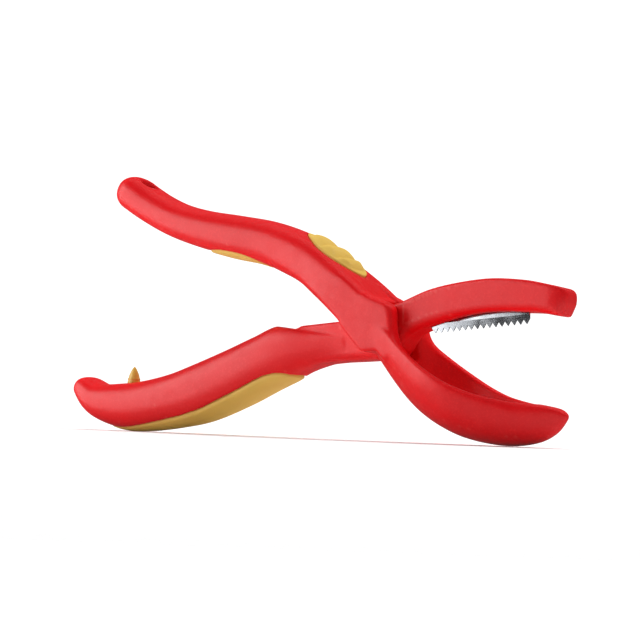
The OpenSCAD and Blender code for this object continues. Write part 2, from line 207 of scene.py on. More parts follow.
def flat_distance(u, v, points):
    """Distance in a plane to a closed outline, negative inside."""
    nearest = np.full(np.broadcast(u, v).shape, 1e9, np.float32)
    crossings = np.zeros(nearest.shape, bool)
    for a, b in zip(points, np.roll(points, -1, axis=0)):
        d = b - a
        length = float(d @ d)
        if length < 1e-9:
            continue
        t = np.clip(((u - a[0]) * d[0] + (v - a[1]) * d[1]) / length, 0, 1)
        gap = (u - a[0] - t * d[0]) ** 2 + (v - a[1] - t * d[1]) ** 2
        nearest = np.minimum(nearest, gap)
        if abs(d[1]) > 1e-9:
            over = (a[1] > v) != (b[1] > v)
            crossings ^= over & (u < a[0] + (v - a[1]) * d[0] / d[1])
    distance = np.sqrt(nearest)
    return np.where(crossings, -distance, distance)


class Block:
    """A box of grid points, in mm about the pivot. Its fields are negative inside."""

    def __init__(self, low, high):
        self.first = np.floor(np.array(low) / CELL).astype(int)
        self.count = tuple(np.ceil(np.array(high) / CELL).astype(int) - self.first + 1)
        axes = [
            ((f + np.arange(n)) * CELL).astype(np.float32)
            for f, n in zip(self.first, self.count)
        ]
        self.x = axes[0][:, None, None]
        self.y = axes[1][None, :, None]
        self.z = axes[2][None, None, :]

    def loft(self, rings):
        """Distance to the closed surface through rings of points."""
        m, n = rings.shape[:2]
        points = np.concatenate([rings.reshape(-1, 3), rings[[0, -1]].mean(axis=1)])
        i, j = np.meshgrid(np.arange(m - 1), np.arange(n), indexing="ij")
        k = (j + 1) % n
        quads = np.stack([i * n + j, i * n + k, (i + 1) * n + k, (i + 1) * n + j], -1)
        j = np.arange(n)
        k = (j + 1) % n
        ends = [
            np.stack([np.full(n, m * n), k, j], -1),
            np.stack([np.full(n, m * n + 1), (m - 1) * n + j, (m - 1) * n + k], -1),
        ]
        grid = vdb.FloatGrid.createLevelSetFromPolygons(
            points.astype(np.float32),
            triangles=np.concatenate(ends).astype(np.uint32),
            quads=quads.reshape(-1, 4).astype(np.uint32),
            transform=vdb.createLinearTransform(CELL),
            halfWidth=BAND,
        )
        out = np.zeros(self.count, np.float32)
        grid.copyToArray(out, ijk=tuple(int(v) for v in self.first))
        return out

    def outline(self, points):
        """Distance in the XZ plane to a closed outline."""
        return flat_distance(self.x[:, :, 0], self.z[:, 0, :], points)[:, None, :]

    def bar(self, distance, y0, y1, r=0.0):
        """A flat distance carried along Y from y0 to y1, its edges rounded by r."""
        across = distance + r
        along = np.abs(self.y - (y0 + y1) / 2) - (y1 - y0) / 2 + r
        outside = np.sqrt(np.maximum(across, 0) ** 2 + np.maximum(along, 0) ** 2)
        return (np.minimum(np.maximum(across, along), 0) + outside - r).astype(np.float32)

    def round_bar(self, x, z, r, y0, y1, edge=0.0):
        return self.bar(np.hypot(self.x - x, self.z - z) - r, y0, y1, edge)


def join(a, b, k):
    """Union whose inner corner is filled by about k."""
    h = np.clip(0.5 + 0.5 * (b - a) / k, 0, 1)
    return b + (a - b) * h - k * h * (1 - h)


def cut(a, b, k):
    """a without b, with the new edge rounded by about k."""
    return -join(-a, b, k)


def soften(field):
    """One pass of a small blur, which takes the grid's steps off the edges."""
    for axis in range(3):
        middle = [slice(None)] * 3
        low = list(middle)
        high = list(middle)
        middle[axis] = slice(1, -1)
        low[axis] = slice(None, -2)
        high[axis] = slice(2, None)
        blurred = field.copy()
        blurred[tuple(middle)] = (
            0.5 * field[tuple(middle)] + 0.25 * (field[tuple(low)] + field[tuple(high)])
        )
        field = blurred
    return field


def mesh_object(name, points, faces, smooth=True):
    """A mesh object from points in mm about the pivot. An array of faces has rows of one length."""
    place = (np.asarray(points, float) * MM + np.array(PIVOT)).astype(np.float32)
    mesh = bpy.data.meshes.new(name)
    if isinstance(faces, list):
        mesh.from_pydata(place.tolist(), [], faces)
    else:
        corners = faces.shape[1]
        mesh.vertices.add(len(place))
        mesh.vertices.foreach_set("co", place.ravel())
        mesh.loops.add(faces.size)
        mesh.loops.foreach_set("vertex_index", faces.astype(np.int32).ravel())
        mesh.polygons.add(len(faces))
        mesh.polygons.foreach_set("loop_start", np.arange(len(faces), dtype=np.int32) * corners)
    mesh.update(calc_edges=True)
    mesh.polygons.foreach_set("use_smooth", [smooth] * len(mesh.polygons))
    piece = bpy.data.objects.new(name, mesh)
    bpy.context.scene.collection.objects.link(piece)
    return piece


def skin_object(name, rings, closed=False, smooth=True):
    """A mesh through rings of points: closed runs the last ring on into the first."""
    m, n = rings.shape[:2]
    faces = []
    for i in range(m if closed else m - 1):
        after = (i + 1) % m
        for j in range(n):
            k = (j + 1) % n
            faces.append((i * n + j, i * n + k, after * n + k, after * n + j))
    points = rings.reshape(-1, 3)
    if not closed:
        points = np.concatenate([points, rings[[0, -1]].mean(axis=1)])
        last = (m - 1) * n
        for j in range(n):
            k = (j + 1) % n
            faces.append((m * n, k, j))
            faces.append((m * n + 1, last + j, last + k))
    piece = mesh_object(name, points, faces, smooth)
    outwards(piece)
    return piece


def outwards(piece):
    """Turns the faces of a closed mesh outwards."""
    shape = bmesh.new()
    shape.from_mesh(piece.data)
    bmesh.ops.recalc_face_normals(shape, faces=shape.faces[:])
    shape.to_mesh(piece.data)
    shape.free()


def block_object(name, block, field):
    grid = vdb.FloatGrid(BAND * CELL)
    corner = tuple(int(v) for v in block.first)
    grid.copyFromArray(np.ascontiguousarray(field, np.float32), ijk=corner)
    grid.transform = vdb.createLinearTransform(CELL)
    grid.gridClass = vdb.GridClass.LEVEL_SET
    points, quads = grid.convertToQuads(0.0)
    return mesh_object(name, points, quads[:, ::-1])


# ---------------------------------------------------------------- scoop lever
CHEEK_FRONT = np.array([
    [9.8, -2.2], [8.7, 1], [8.4, 4.2], [7.9, 6.6], [6.4, 8.3], [3.9, 9.4], [1, 10.5],
])
CHEEK_FACE = 12.9
CHEEK_OVER = 0.6  # how far the cheeks are drawn past their faces before they are cut
RECESS = np.array([
    [-9.5, 18.2], [-3.5, 11.8], [-1, 10.4], [-1, 8], [14, 8], [14, 22], [-9.5, 22],
])
HANG_T = 1.3
HANG_D = 6.0
HANG_DISH_D = 9.6
HANG_DISH_H = 1.6


def cheek_outline():
    return np.concatenate([
        [[-11, 2]],
        arc((-1.2, -3.2), 3.6, 215, 270),
        [[3, -6.4], [6, -9.4], [11.4, -5.2]],
        smooth_outline(CHEEK_FRONT),
        [[-2.6, 12.0], [-6.5, 9.5]],
    ])


def slot_field(block):
    """Room for the tongue, the hub and the jaw between the cheeks, and the recess over it."""
    front = np.array([
        [0, -SLOT_R], [0, SLOT_R], [3.4, 9.4], [8, 10.6], [20, 16], [20, -4], [11, -8],
    ])
    back = np.array([[0, -9.3], [-40, -20], [-40, 13], [-30, 16.4], [-9, 11.2], [0, 9.3]])
    flat = np.hypot(block.x, block.z) - SLOT_R
    flat = np.minimum(flat, np.minimum(block.outline(front), block.outline(back)))
    recess = block.bar(block.outline(RECESS), -SLOT_W / 2, SLOT_W / 2)
    return join(block.bar(flat, -SLOT_W / 2, SLOT_W / 2), recess, 0.4)


def scoop_fields(block):
    """The scoop's outside, cut along its rim, and its cavity."""
    rings = trough_rings(SCOOP_OUTER, SCOOP_SQUARE)
    up = np.array([0, 0, RIM_REACH])
    outside = block.loft(np.concatenate([rings[:, :1] + up, rings, rings[:, -1:] + up], axis=1))
    fine = curve(SCOOP_OUTER, np.linspace(0, len(SCOOP_OUTER) - 1, 200))
    rim = np.interp(block.x[:, 0, 0], fine[:, 0], fine[:, 1]).astype(np.float32)
    slope = np.gradient(rim, CELL)
    over = (block.z - rim[:, None, None]) / np.hypot(1, slope)[:, None, None]
    rim_round = np.interp(block.x[:, 0, 0], *RIM_ROUND.T)
    outside = cut(outside, -over, rim_round[:, None, None].astype(np.float32))
    middle = [
        [x, top + RIM_REACH, belly + SCOOP_FLOOR, half - SCOOP_WALL]
        for x, top, belly, half in SCOOP_OUTER[4:9]
    ]
    cavity = np.array(CAVITY_ROOT + middle + CAVITY_TIP)
    return outside, block.loft(trough_rings(cavity, SCOOP_SQUARE))


def hang_field(block):
    """The hanging hole and its dished rim, across the tail of the upper handle."""
    centre = curve(UPPER_HANDLE, HANG_T)
    n = normal(UPPER_HANDLE, HANG_T)
    up = (block.x - centre[0]) * n[0] + (block.z - centre[1]) * n[1]
    side = (block.x - centre[0]) * n[1] - (block.z - centre[1]) * n[0]
    off = np.hypot(side, block.y)
    bore = off - HANG_D / 2
    lean = (HANG_DISH_D - HANG_D) / 2 / HANG_DISH_H
    depth = np.abs(up) - centre[2] + HANG_DISH_H
    dish = np.maximum((off - HANG_D / 2 - depth * lean) / np.hypot(1, lean), -depth)
    return join(bore, dish, 0.8).astype(np.float32)


def patch_rings(rows, side, shape, top, depth, fine=41):
    """Rings round a strip on a handle's surface. shape: t and half width of each ring.
    top(u, v, inset) is its height over the surface, with u along it, v across it from -1
    to 1, and inset the distance in from its outline."""
    across = np.sin(np.linspace(-np.pi / 2, np.pi / 2, fine))[None, :]
    s = curve(rows, shape[:, 0])
    n = normal(rows, shape[:, 0])
    half = shape[:, 1:2]
    y = half * across
    e = s[:, 4:5] if side > 0 else s[:, 5:6]
    crown = s[:, 2:3] * (1 - np.minimum(1, np.abs(y) / s[:, 3:4]) ** e) ** (1 / e)
    u = (shape[:, 0:1] - shape[0, 0]) / (shape[-1, 0] - shape[0, 0])
    along = np.concatenate([[0], np.cumsum(np.hypot(*np.diff(s[:, :2], axis=0).T))])[:, None]
    lean = np.gradient(half[:, 0], along[:, 0])[:, None]
    ends = np.minimum(along, along[-1] - along)
    inset = np.minimum((half - np.abs(y)) / np.hypot(1, lean), ends + 0 * y)

    def surface(off):
        h = side * (crown + off)
        return np.stack([s[:, 0:1] + n[:, 0:1] * h, y, s[:, 1:2] + n[:, 1:2] * h], -1)

    outer = surface(top(u, across, inset))
    inner = surface(np.full_like(y, -depth))
    return np.concatenate([outer, inner[:, ::-1]], axis=1)


def edge_drop(inset, r):
    """How far a rounded edge of radius r has dropped at a distance in from the outline."""
    gap = np.clip(r - inset, 0, r)
    return r - np.sqrt(r * r - gap * gap)


# Soft pads: where each starts and ends, in stations of its handle, and a leaf's half width.
THUMB = (6.95, 9.8, 8.0)
PALM = (4.3, 6.2, 7.4)
FINGER = (2.6, 9.15)
# The finger grip's outline: part of the way along it, half width.
FINGER_SHAPE = np.array([
    [0, 0.6], [0.1, 3.5], [0.25, 5.8], [0.45, 6.9], [0.68, 7.6], [0.84, 7.4], [0.93, 6],
    [0.98, 3.4], [1, 0.8],
])
PAD_EDGE = 0.45
RIDGE_COUNT = 3
RIDGE_START = 0.08
RIDGE_PITCH = 0.26
RIDGE_H = 1.1


def leaf(u, half, e):
    """Half width of a leaf with blunt ends, at u from 0 to 1 along it."""
    return np.maximum(0.4, half * (1 - np.abs(2 * u - 1) ** e) ** 0.6)


def even(n):
    """n steps from 0 to 1, closer together near both ends."""
    return 0.5 - 0.5 * np.cos(np.linspace(0, np.pi, n))


def thumb_rings(top, depth=GRIP_DEPTH, grow=0.0):
    u = np.sort(np.concatenate([even(90), np.linspace(0.05, 0.85, 110)]))
    widths = leaf(u, THUMB[2], 2.0) + grow
    shape = np.stack([THUMB[0] + (THUMB[1] - THUMB[0]) * u, widths], axis=-1)
    return patch_rings(UPPER_HANDLE, 1, shape, top, depth)


def palm_rings(top, depth=GRIP_DEPTH, grow=0.0):
    u = even(110)
    widths = leaf(u, PALM[2], 2.6) + grow
    shape = np.stack([PALM[0] + (PALM[1] - PALM[0]) * u, widths], axis=-1)
    return patch_rings(UPPER_HANDLE, -1, shape, top, depth)


def finger_rings(top, depth=GRIP_DEPTH, grow=0.0):
    rows = curve(FINGER_SHAPE, np.linspace(0, len(FINGER_SHAPE) - 1, 180))
    u = np.clip(rows[:, 0], 0, 1)
    widths = np.maximum(0.5, rows[:, 1]) + grow
    shape = np.stack([FINGER[0] + (FINGER[1] - FINGER[0]) * u, widths], axis=-1)
    return patch_rings(LOWER_HANDLE, -1, shape, top, depth)


def over_pad(u, v, inset):
    """Height of the cutter for a pad's seat, well clear of the handle."""
    return 2.2 + 0 * inset


def thumb_top(u, v, inset):
    """Three ridges, each steeper towards the tail, which die out at the pad's edge."""
    phase = (u - RIDGE_START) / RIDGE_PITCH
    part = phase - np.floor(phase)
    wave = np.where((phase > 0) & (phase < RIDGE_COUNT), 2.6 * np.sqrt(part) * (1 - part), 0)
    fade = np.clip(inset / 3, 0, 1)
    return 0.3 + RIDGE_H * wave * fade * fade * (3 - 2 * fade) - edge_drop(inset, PAD_EDGE)


def palm_top(u, v, inset):
    return 0.2 + 0.4 * (1 - v**2) - edge_drop(inset, PAD_EDGE)


def finger_top(u, v, inset):
    return 0.15 + 0.4 * (1 - v**2) - edge_drop(inset, PAD_EDGE)


def scoop_lever():
    b = Block((-121, -18.6, -36.6), (64.6, 18.6, 63))
    body = b.loft(handle_rings(UPPER_HANDLE, UPPER_CAP))
    # The cheeks' upper edges are rounder than their lower ones.
    edge = np.interp(b.z[0, 0], [-2, 5], [1.5, 2.6]).astype(np.float32)
    side = CHEEK_FACE + CHEEK_OVER
    cheeks = b.bar(b.outline(cheek_outline()), -side, side, edge)
    body = join(body, cheeks, 2 * SOFT)
    body = cut(body, CHEEK_FACE - np.abs(b.y), SOFT)
    outside, cavity = scoop_fields(b)
    body = join(body, outside, 1.6)
    body = cut(body, cavity, 1.1)
    body = cut(body, slot_field(b), SOFT)
    body = cut(body, hang_field(b), 0.7)
    body = cut(body, b.loft(thumb_rings(over_pad, GRIP_DEPTH + SEAM, SEAM)), CRISP)
    body = cut(body, b.loft(palm_rings(over_pad, GRIP_DEPTH + SEAM, SEAM)), CRISP)
    past = FORK_W / 2 + 1
    body = cut(body, b.round_bar(0, 0, PIN_D / 2, -SLOT_W / 2 - PIN_BLIND, past), CRISP)
    under_head = FORK_W / 2 - PIN_SINK - PIN_HEAD_H
    body = cut(body, b.round_bar(0, 0, PIN_HEAD_D / 2 + 0.05, under_head, past), FINE)
    return block_object("scoop_lever_body", b, soften(body))


# ---------------------------------------------------------------- blade lever
JAW_TOP = np.array([
    [4, 8.6], [8, 9.6], [17.5, 13.2], [28, 15.3], [39, 16.3], [50, 15.6], [57, 14.3],
])
JAW_LOW = np.array([
    [61.6, 4.6], [57, 5.3], [53.5, 5.9], [49, 6.1], [42, 6.3], [35, 5.9], [28, 4.8],
    [21, 3], [15.5, 1.4], [10.6, -0.8], [8.1, -3.9],
])
TONGUE_LOW = np.array([[-2, -8.8], [-9, -9.2], [-16, -9.5], [-22, -10], [-30, -12]])
TONGUE_TOP = np.array([[-36, -4], [-33, 0.4], [-29.8, 2.1], [-13, 3.6], [-8.2, 3.7]])
# Where the jaw's corners start in plan, and how long and how wide they are.
JAW_CORNER_X = 57.7
JAW_CORNER_LEN = 6.3
JAW_CORNER_W = 3.6
# Middle line of the flat part, below which its edges get rounder: x, z.
FLAT_MIDDLE = np.array([[-30, -5], [-9, -3], [9, 3], [20, 7], [62, 9.5]])
# The part of the lower handle that is cut away over the tongue.
LEDGE = np.array([[-41.2, 2.2], [-12.4, -2.2], [-6, -3], [-6, 20], [-41.2, 20]])
BLADE_PLACE = (16.4, -0.3)
BLADE_TILT = math.radians(5)
BLADE_T = 1.0
BLADE_H = 8.0
TOOTH_PITCH = 2.1
TOOTH_COUNT = 16
TOOTH_DEPTH = 1.6
GROUND_H = 3.0  # height of the blade's grinding line over its edge
BLADE_LEN = TOOTH_PITCH * TOOTH_COUNT
BLADE_PINS = [(7, 6), (24, 6)]  # in the blade's own plane
PICK_PLACE = (-104.6, -17.8)
PICK_D = 4.6
PICK_H = 6.0
SHANK_D = 3.0
SHANK_LEN = 6.0


def flat_outline():
    return np.concatenate([
        smooth_outline(JAW_TOP),
        arc((59.8, 9.4), 4.2, 76, -25),
        smooth_outline(JAW_LOW),
        arc((0, 0), HUB_R, -28, -95),
        TONGUE_LOW,
        TONGUE_TOP,
        arc((0, 0), HUB_R, 155, 68),
    ])


def jaw_plan():
    """The flat part seen from above: straight sides and elliptical corners at the jaw's end."""
    half = TONGUE_W / 2
    a = np.linspace(0, np.pi / 2, 12)
    x = JAW_CORNER_X + JAW_CORNER_LEN * np.sin(a)
    y = half - JAW_CORNER_W * (1 - np.cos(a))
    corner = np.stack([x, y], axis=-1)
    other = corner[::-1] * [1, -1]
    return np.concatenate([[[-60, -half], [-60, half]], corner, other])


def from_blade(x, z):
    """Turns a point of the blade's own plane into the lever's."""
    c, s = math.cos(BLADE_TILT), math.sin(BLADE_TILT)
    return BLADE_PLACE[0] + x * c - z * s, BLADE_PLACE[1] + x * s + z * c


def blade_lever():
    b = Block((-134.5, -10.4, -37), (64.6, 10.4, 18.6))
    barrel = b.loft(handle_rings(LOWER_HANDLE, LOWER_CAP))
    barrel = cut(barrel, b.bar(b.outline(LEDGE), -20, 20), FINE)
    # The flat part's lower edges are rounder than its upper ones, and its jaw ends round in plan.
    flat = b.outline(flat_outline())
    plan = flat_distance(b.x[:, :, 0], b.y[:, :, 0], jaw_plan())[:, :, None]
    middle = np.interp(b.x[:, 0, 0], *FLAT_MIDDLE.T)[:, None, None]
    low = np.clip((middle - b.z) / 5 + 0.5, 0, 1)
    edge = (0.8 + 1.7 * low).astype(np.float32)
    across = flat + edge
    along = plan + edge
    outside = np.sqrt(np.maximum(across, 0) ** 2 + np.maximum(along, 0) ** 2)
    flat = np.minimum(np.maximum(across, along), 0) + outside - edge
    body = join(barrel, flat.astype(np.float32), 1.0)
    body = cut(body, b.round_bar(0, 0, BUSH_D / 2, -10, 10), FINE)
    body = cut(body, b.round_bar(0, 0, POCKET_D / 2, TONGUE_W / 2 - POCKET_DEPTH, 10), FINE)
    corners = [(0, 0), (BLADE_LEN, 0), (BLADE_LEN, BLADE_H), (0, BLADE_H)]
    slot = b.outline(np.array([from_blade(x, z) for x, z in corners]))
    body = cut(body, b.bar(slot, -BLADE_T / 2 - 0.1, BLADE_T / 2 + 0.1), FINE)
    off = np.hypot(b.x - PICK_PLACE[0], b.y)
    socket = np.maximum(off - SHANK_D / 2, PICK_PLACE[1] - SHANK_LEN - b.z)
    seat = np.maximum(off - PICK_D / 2 - 0.1, PICK_PLACE[1] - b.z)
    body = cut(body, np.minimum(socket, seat).astype(np.float32), 0.2)
    body = cut(body, b.loft(finger_rings(over_pad, GRIP_DEPTH + SEAM, SEAM)), CRISP)
    return block_object("blade_lever_body", b, soften(body))


# ---------------------------------------------------------------- small pieces
def lathe(name, profile, place, sides=64, axis="z"):
    """Turns a profile of (radius, height) about Z or Y through a place."""
    a = np.linspace(0, 2 * np.pi, sides, endpoint=False)
    rows = np.asarray(profile, float)
    r, h = rows[:, 0][:, None], rows[:, 1][:, None]
    u, v, w = r * np.cos(a), r * np.sin(a), h + 0 * a
    rings = np.stack([u, v, w] if axis == "z" else [v, w, u], axis=-1) + np.array(place)
    return skin_object(name, rings)


def rounded(profile, r, steps=4):
    """A profile with each corner between its ends replaced by a small curve of reach r."""
    points = [np.array(p, float) for p in profile]
    out = [points[0]]
    for a, b, c in zip(points, points[1:], points[2:]):
        before = b + (a - b) * min(0.45, r / max(1e-6, np.linalg.norm(a - b)))
        after = b + (c - b) * min(0.45, r / max(1e-6, np.linalg.norm(c - b)))
        for i in range(steps + 1):
            f = i / steps
            out.append((1 - f) ** 2 * before + 2 * f * (1 - f) * b + f * f * after)
    out.append(points[-1])
    return np.array(out)


def shell_pick():
    """A pointed pick on three stepped base rings, with its shank in the handle."""
    r = PICK_D / 2
    shank = SHANK_D / 2
    profile = [(0.01, -SHANK_LEN), (shank, -SHANK_LEN), (shank, 0),
               (r, 0), (r, 0.7), (r - 0.14, 0.8), (r - 0.14, 1.2),
               (r - 0.08, 1.3), (r - 0.12, 1.8), (r - 0.3, 1.9), (r * 0.76, 3), (r * 0.54, 4.2),
               (r * 0.3, 5.3), (0.3, PICK_H - 0.25), (0.14, PICK_H - 0.04), (0.01, PICK_H)]
    return lathe("shell_pick_cone", rounded(profile, 0.1), (PICK_PLACE[0], 0, PICK_PLACE[1]))


def pivot_pin():
    """Headed pin. The head's rim is chamfered and its face slightly domed."""
    near = -SLOT_W / 2 - PIN_BLIND
    head = FORK_W / 2 - PIN_SINK
    under = head - PIN_HEAD_H
    r = PIN_D / 2
    rim = PIN_HEAD_D / 2
    profile = [(0.01, near), (r - 0.3, near), (r, near + 0.3), (r, under), (rim, under),
               (rim, head - 0.55), (rim - 0.4, head - 0.18), (1.2, head - 0.04), (0.01, head)]
    return lathe("pivot_pin_turned", rounded(profile, 0.12), (0, 0, 0), 96, "y")


def pivot_bush():
    half = TONGUE_W / 2
    ring = np.array([(2.55, -half + 0.2), (2.75, -half), (3.3, -half), (3.5, -half + 0.2),
                     (3.5, half - 0.2), (3.3, half), (2.75, half), (2.55, half - 0.2)])
    a = np.linspace(0, 2 * np.pi, 72, endpoint=False)[:, None]
    rings = np.stack([ring[:, 0] * np.sin(a), ring[:, 1] + 0 * a, ring[:, 0] * np.cos(a)], -1)
    return skin_object("pivot_bush_turned", rings, closed=True, smooth=False)


WIRE_D = 1.0
COIL_R = 5.0
COIL_TURNS = 3.25
CHEEK_LEG = 100.0
LEG_REACH = 2.8
BEND_R = 0.65


def return_spring():
    """Torsion spring of one wire: a leg, a bend, the coil, a bend and a leg, along Y."""
    room = TONGUE_W / 2 - POCKET_DEPTH
    y0 = room + WIRE_D / 2 + 0.2
    y1 = TONGUE_W / 2 - WIRE_D / 2
    bend = math.degrees(BEND_R / COIL_R)
    whole = 360 * COIL_TURNS
    q = np.radians(np.linspace(0, 90, 9))
    lead_in = np.stack([bend * (1 - np.cos(q)), y0 - BEND_R * (1 - np.sin(q)), np.degrees(q)], -1)
    f = np.linspace(0, 1, 260)[1:-1]
    coil = np.stack([bend + (whole - 2 * bend) * f, y0 + (y1 - y0) * f, 90 + 0 * f], -1)
    lead_out = np.stack([whole - bend + bend * np.sin(q), y1 + BEND_R * (1 - np.cos(q)),
                         90 - np.degrees(q)], -1)
    start = [[0, room - LEG_REACH, 0]]
    end = [[whole, SLOT_W / 2 + LEG_REACH, 0]]
    path = np.concatenate([start, lead_in, coil, lead_out, end])
    a = np.radians(CHEEK_LEG - whole + path[:, 0])
    turn = np.radians(path[:, 2])
    centre = np.stack([COIL_R * np.cos(a), path[:, 1], COIL_R * np.sin(a)], -1)
    radial = np.stack([np.cos(a), 0 * a, np.sin(a)], -1)
    around = np.stack([-np.sin(a), 0 * a, np.cos(a)], -1)
    side = np.cos(turn)[:, None] * around - np.sin(turn)[:, None] * np.array([0, 1, 0])
    k = np.linspace(0, 2 * np.pi, 18, endpoint=False)
    ring = np.cos(k)[None, :, None] * radial[:, None] + np.sin(k)[None, :, None] * side[:, None]
    return skin_object("return_spring_wire", centre[:, None] + WIRE_D / 2 * ring)


def blade_edge():
    """Tooth roots and tips along the edge, from x = 0."""
    edge = [(0.0, TOOTH_DEPTH)]
    for i in range(TOOTH_COUNT):
        edge += [((i + 0.44) * TOOTH_PITCH, 0.12), ((i + 0.5) * TOOTH_PITCH, 0.0),
                 ((i + 0.56) * TOOTH_PITCH, 0.12), ((i + 0.97) * TOOTH_PITCH, TOOTH_DEPTH),
                 ((i + 1) * TOOTH_PITCH, TOOTH_DEPTH)]
    return edge


def serrated_blade():
    """Strip with ground V teeth: each face slopes in from the grinding line to the edge."""
    full = BLADE_T / 2
    cols = []
    for x, z in blade_edge():
        thin = 0.1 + (full - 0.1) * z / GROUND_H
        back = BLADE_H - max(0.0, x - (BLADE_LEN - 1))
        cols.append([(x, z, thin), (x, GROUND_H, full), (x, back - 0.12, full), (x, back, full - 0.12)])
    points = []
    for side in (-1, 1):
        for col in cols:
            for x, z, thick in col:
                u, w = from_blade(x, z)
                points.append((u, side * thick, w))
    rows = len(cols[0])
    n = len(cols) * rows
    faces = []
    for i in range(len(cols) - 1):
        for j in range(rows - 1):
            a, b = i * rows + j, (i + 1) * rows + j
            faces.append((a, b, b + 1, a + 1))
            faces.append((n + a + 1, n + b + 1, n + b, n + a))
        a, b = i * rows, (i + 1) * rows
        faces.append((a, n + a, n + b, b))
        a, b = a + rows - 1, b + rows - 1
        faces.append((b, n + b, n + a, a))
    for i in (0, len(cols) - 1):
        for j in range(rows - 1):
            a = i * rows + j
            faces.append((a, a + 1, n + a + 1, n + a))
    piece = mesh_object("serrated_blade", points, faces, smooth=False)
    outwards(piece)
    return piece


def blade_pin(name, x, z):
    u, w = from_blade(x, z)
    profile = [(0.01, -3), (0.95, -3), (1.1, -2.8), (1.1, 5.75), (0.95, 5.9), (0.01, 5.9)]
    return lathe(name, rounded(profile, 0.05, 2), (u, 0, w), 32, "y")


# ---------------------------------------------------------------- materials
class Look:
    """A material's nodes, with its shader joined to the output."""

    def __init__(self, name, **values):
        self.material = bpy.data.materials.new(name)
        self.material.use_nodes = True
        self.nodes = self.material.node_tree.nodes
        self.links = self.material.node_tree.links
        self.nodes.clear()
        output = self.nodes.new("ShaderNodeOutputMaterial")
        self.shader = self.nodes.new("ShaderNodeBsdfPrincipled")
        self.links.new(self.shader.outputs["BSDF"], output.inputs["Surface"])
        for socket, value in values.items():
            self.shader.inputs[socket.replace("_", " ")].default_value = value
        self.place = self.nodes.new("ShaderNodeTexCoord").outputs["Object"]

    def noise(self, scale, detail=2.0, stretch=(1, 1, 1), roughness=0.5):
        """Noise with scale cells to the metre, stretched along the axes."""
        mapping = self.nodes.new("ShaderNodeMapping")
        mapping.inputs["Scale"].default_value = stretch
        self.links.new(self.place, mapping.inputs["Vector"])
        noise = self.nodes.new("ShaderNodeTexNoise")
        noise.inputs["Scale"].default_value = scale
        noise.inputs["Detail"].default_value = detail
        noise.inputs["Roughness"].default_value = roughness
        self.links.new(mapping.outputs["Vector"], noise.inputs["Vector"])
        return noise.outputs["Fac"]

    def ramp(self, value, low, high, start, end):
        """Spreads value, from low to high, over start to end."""
        node = self.nodes.new("ShaderNodeMapRange")
        self.links.new(value, node.inputs["Value"])
        ends = {"From Min": low, "From Max": high, "To Min": start, "To Max": end}
        for socket, number in ends.items():
            node.inputs[socket].default_value = number
        return node.outputs["Result"]

    def mix(self, factor, a, b):
        """Mixes two colours, each a value or a socket."""
        node = self.nodes.new("ShaderNodeMix")
        node.data_type = "RGBA"
        self.links.new(factor, node.inputs["Factor"])
        for socket, colour in ((node.inputs[6], a), (node.inputs[7], b)):
            if isinstance(colour, bpy.types.NodeSocket):
                self.links.new(colour, socket)
            else:
                socket.default_value = (*colour, 1)
        return node.outputs[2]

    def edges(self, low, high):
        """1 on worn outer edges, 0 elsewhere."""
        geometry = self.nodes.new("ShaderNodeNewGeometry")
        return self.ramp(geometry.outputs["Pointiness"], low, high, 0, 1)

    def bump(self, height, depth, strength, before=None):
        node = self.nodes.new("ShaderNodeBump")
        node.inputs["Distance"].default_value = depth
        node.inputs["Strength"].default_value = strength
        self.links.new(height, node.inputs["Height"])
        if before is not None:
            self.links.new(before, node.inputs["Normal"])
        return node.outputs["Normal"]

    def set(self, socket, output):
        self.links.new(output, self.shader.inputs[socket])


def red_plastic():
    look = Look("red_moulded_plastic", IOR=1.5, Specular_IOR_Level=0.4)
    patches = look.ramp(look.noise(45, 2), 0.35, 0.65, 0, 1)
    colour = look.mix(patches, (0.84, 0.003, 0.007), (0.78, 0.0025, 0.006))
    fine = look.noise(1500, 3, roughness=0.6)
    speckle = look.ramp(fine, 0.5, 0.72, 0, 0.55)
    colour = look.mix(speckle, colour, (0.92, 0.02, 0.022))
    worn = look.ramp(look.edges(0.52, 0.6), 0, 1, 0, 0.3)
    colour = look.mix(worn, colour, (0.88, 0.08, 0.07))
    look.set("Base Color", colour)
    look.set("Roughness", look.ramp(look.noise(320, 3), 0.3, 0.7, 0.33, 0.46))
    grain = look.bump(fine, 0.00012, 0.5)
    wave = look.bump(look.noise(240, 1), 0.0003, 0.16, grain)
    look.set("Normal", wave)
    return look.material


def soft_yellow():
    look = Look("soft_yellow_rubber", IOR=1.45)
    patches = look.ramp(look.noise(60, 3), 0.35, 0.65, 0, 1)
    colour = look.mix(patches, (0.82, 0.54, 0.11), (0.76, 0.49, 0.095))
    worn = look.ramp(look.edges(0.52, 0.62), 0, 1, 0, 0.3)
    colour = look.mix(worn, colour, (0.82, 0.56, 0.2))
    look.set("Base Color", colour)
    look.set("Roughness", look.ramp(look.noise(500, 2), 0.3, 0.7, 0.56, 0.7))
    look.set("Normal", look.bump(look.noise(1900, 3), 0.00008, 0.3))
    return look.material


def pick_yellow():
    look = Look("pick_yellow_plastic", IOR=1.5)
    patches = look.ramp(look.noise(180, 2), 0.35, 0.65, 0, 1)
    look.set("Base Color", look.mix(patches, (0.82, 0.53, 0.1), (0.76, 0.47, 0.08)))
    look.set("Roughness", look.ramp(look.noise(700, 2), 0.3, 0.7, 0.28, 0.4))
    look.set("Normal", look.bump(look.noise(2600, 2), 0.00004, 0.2))
    return look.material


